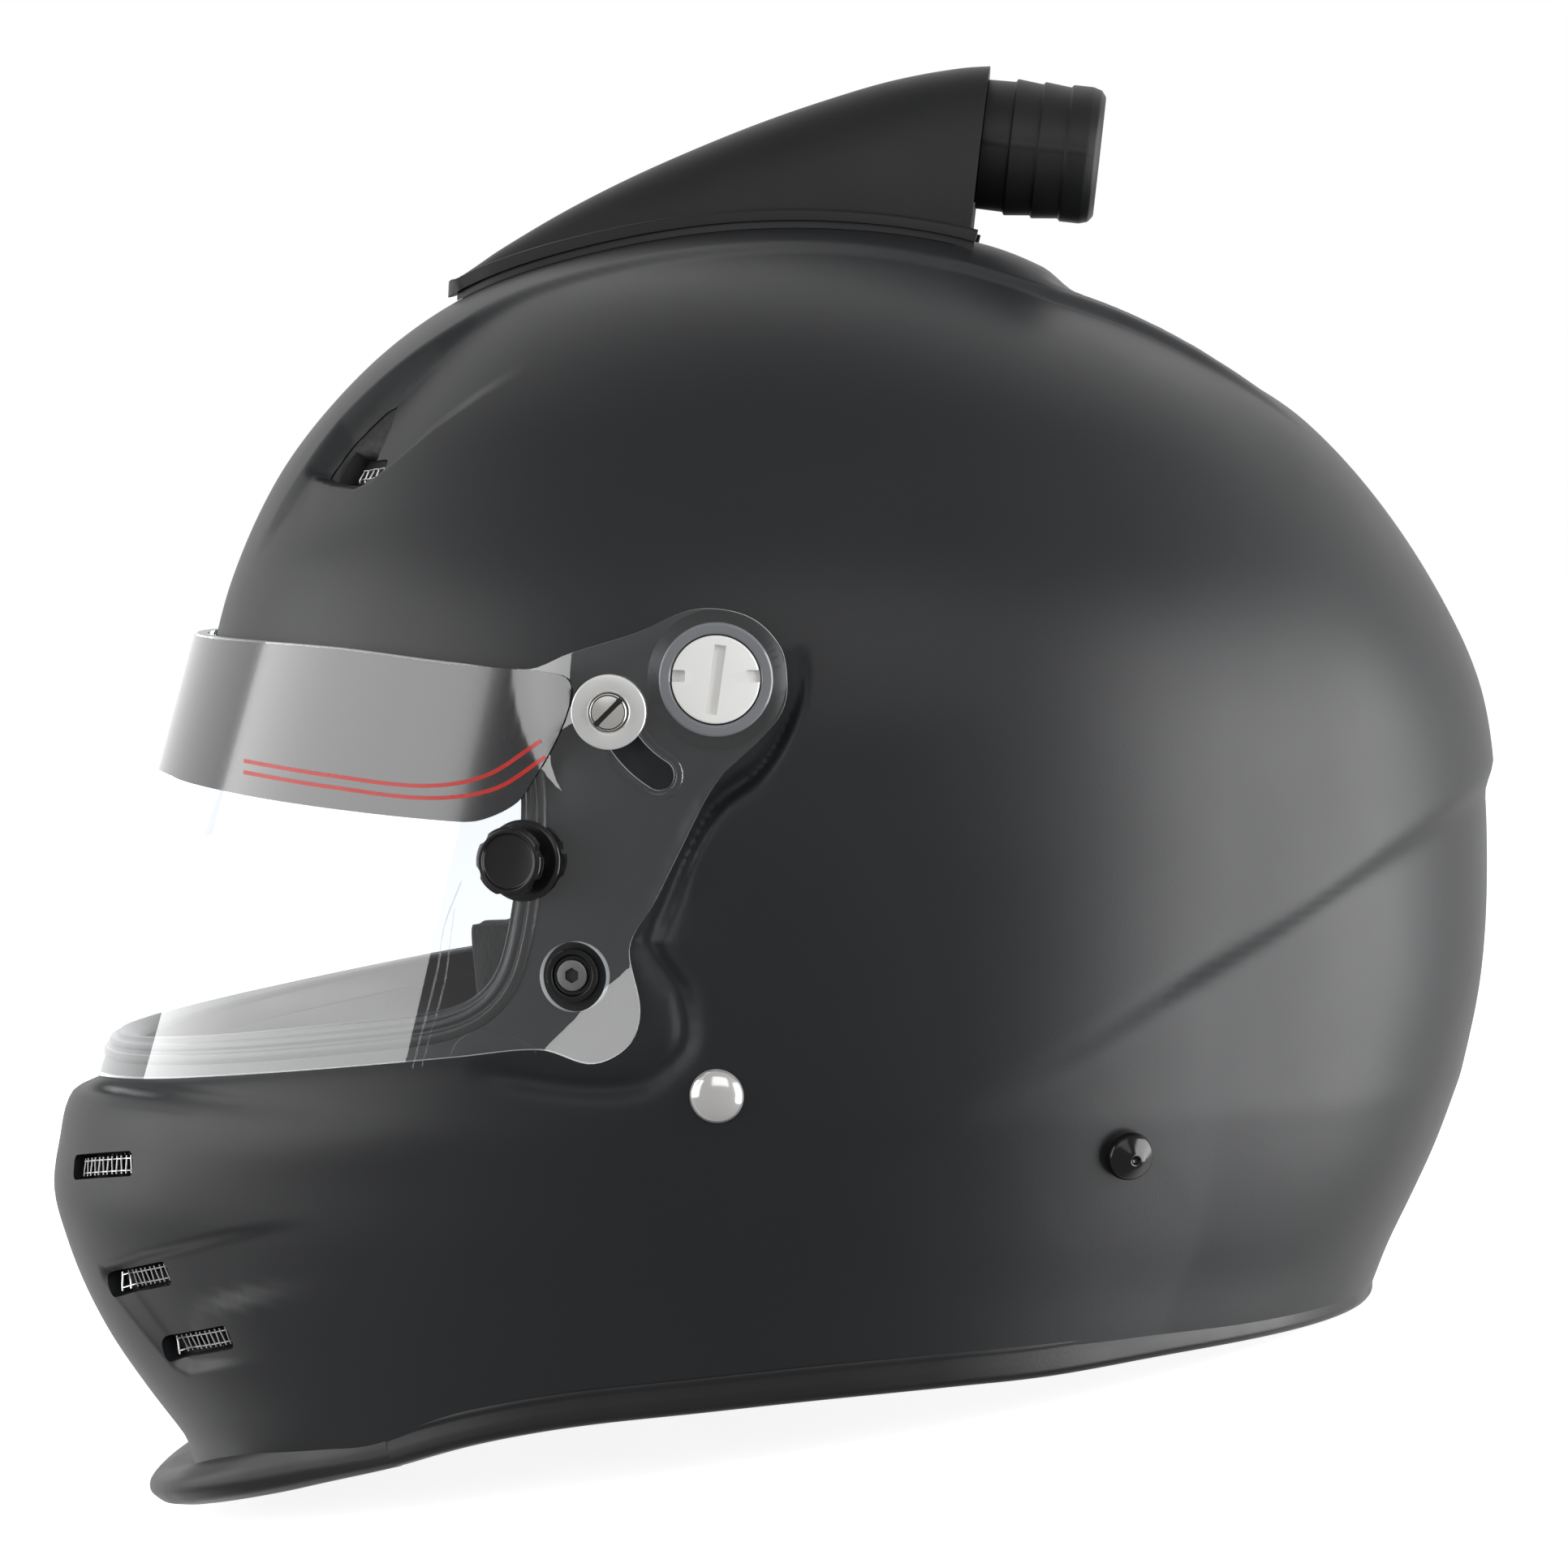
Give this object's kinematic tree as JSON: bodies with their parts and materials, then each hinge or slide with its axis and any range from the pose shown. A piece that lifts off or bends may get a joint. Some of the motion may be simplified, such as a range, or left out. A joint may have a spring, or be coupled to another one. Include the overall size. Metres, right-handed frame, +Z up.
{
  "type": "auto racing helmet",
  "caption": "Full-face racing helmet with clear hinged visor, dark tint strip, chin vents and a top air duct with a barbed hose spigot.",
  "frame": {"origin": "centre of the footprint of the bounding box, at the surface that the helmet rests on", "axes": "+Z up, the wearer looks along -Y, the wearer's left is +X"},
  "size_m": [0.2564, 0.3504, 0.2981],
  "materials": {
    "shell_finish": "satin near-black lacquer over a composite shell",
    "satin_plastic": "satin black moulded plastic",
    "rubber_black": "soft black rubber",
    "clear_screen": "clear polycarbonate with a hard coat",
    "tint_film": "smoked film, semi-gloss",
    "liner_foam": "black bead foam",
    "liner_cloth": "black knitted liner cloth",
    "steel_mesh": "black woven wire",
    "webbing": "black woven webbing",
    "bright_steel": "plain steel",
    "dark_steel": "blackened steel",
    "chrome_steel": "polished plating",
    "washer_alloy": "turned aluminium",
    "brass_insert": "plain brass",
    "white_plastic": "off-white moulded plastic",
    "black_plastic": "black moulded plastic",
    "gloss_plug": "glossy black plastic"
  },
  "bodies": {
    "helmet": {"anchor_insert_left": "brass_insert", "anchor_insert_right": "brass_insert", "anchor_plug_left": "gloss_plug", "anchor_plug_right": "gloss_plug", "brow_vent_meshes": "steel_mesh", "cheek_pad_left": "liner_cloth", "cheek_pad_right": "liner_cloth", "chin_bar_foam": "liner_foam", "chin_lip": "satin_plastic", "chin_strap_long": "webbing", "chin_strap_short": "webbing", "chin_vent_meshes": "steel_mesh", "comfort_liner": "liner_cloth", "d_ring_lower": "bright_steel", "d_ring_upper": "bright_steel", "duct_body": "satin_plastic", "duct_seal": "rubber_black", "edge_trim": "rubber_black", "eyeport_gasket": "rubber_black", "foam_liner": "liner_foam", "hose_spigot": "satin_plastic", "latch_post_left": "black_plastic", "latch_post_right": "black_plastic", "latch_screw_left": "dark_steel", "latch_screw_right": "dark_steel", "neck_roll": "liner_cloth", "outer_shell": "shell_finish", "pivot_hub_left": "black_plastic", "pivot_hub_right": "black_plastic", "pivot_screw_left": "bright_steel", "pivot_screw_right": "bright_steel", "shell_inserts": "brass_insert", "slot_bush_left": "black_plastic", "slot_bush_right": "black_plastic", "slot_screw_left": "bright_steel", "slot_screw_right": "bright_steel", "slot_washer_left": "washer_alloy", "slot_washer_right": "washer_alloy", "strap_hanger_left": "bright_steel", "strap_hanger_right": "bright_steel", "strap_rivet_left": "chrome_steel", "strap_rivet_right": "chrome_steel", "strap_snap": "black_plastic"},
    "visor_frame": {"visor": "clear_screen", "tint_strip": "tint_film", "tearoff_base_left": "black_plastic", "tearoff_base_right": "black_plastic", "tearoff_nut_left": "black_plastic", "tearoff_nut_right": "black_plastic"},
    "pivot_disc_left": {"pivot_disc_left": "white_plastic"},
    "pivot_disc_right": {"pivot_disc_right": "white_plastic"},
    "tearoff_post_left": {"tearoff_post_left": "black_plastic"},
    "tearoff_post_right": {"tearoff_post_right": "black_plastic"}
  },
  "joints": [
    {"name": "visor_hinge", "type": "hinge", "parent": "helmet", "child": "visor_frame", "pos_m": [0, 0.00782, 0.17267], "axis": [-1, 0, 0], "range_deg": [0, 42]},
    {"name": "disc_turn_left", "type": "hinge", "parent": "helmet", "child": "pivot_disc_left", "pos_m": [0.1247, 0.00782, 0.17267], "axis": [1, 0, 0], "range_deg": [0, 90]},
    {"name": "disc_turn_right", "type": "hinge", "parent": "helmet", "child": "pivot_disc_right", "pos_m": [-0.1247, 0.00782, 0.17267], "axis": [-1, 0, 0], "range_deg": [0, 90]},
    {"name": "tearoff_turn_left", "type": "hinge", "parent": "visor_frame", "child": "tearoff_post_left", "pos_m": [0.11544, -0.04123, 0.14169], "axis": [0.9465, -0.3082, 0.0955], "continuous": true},
    {"name": "tearoff_turn_right", "type": "hinge", "parent": "visor_frame", "child": "tearoff_post_right", "pos_m": [-0.11544, -0.04123, 0.14169], "axis": [-0.9465, -0.3082, 0.0955], "continuous": true}
  ]
}
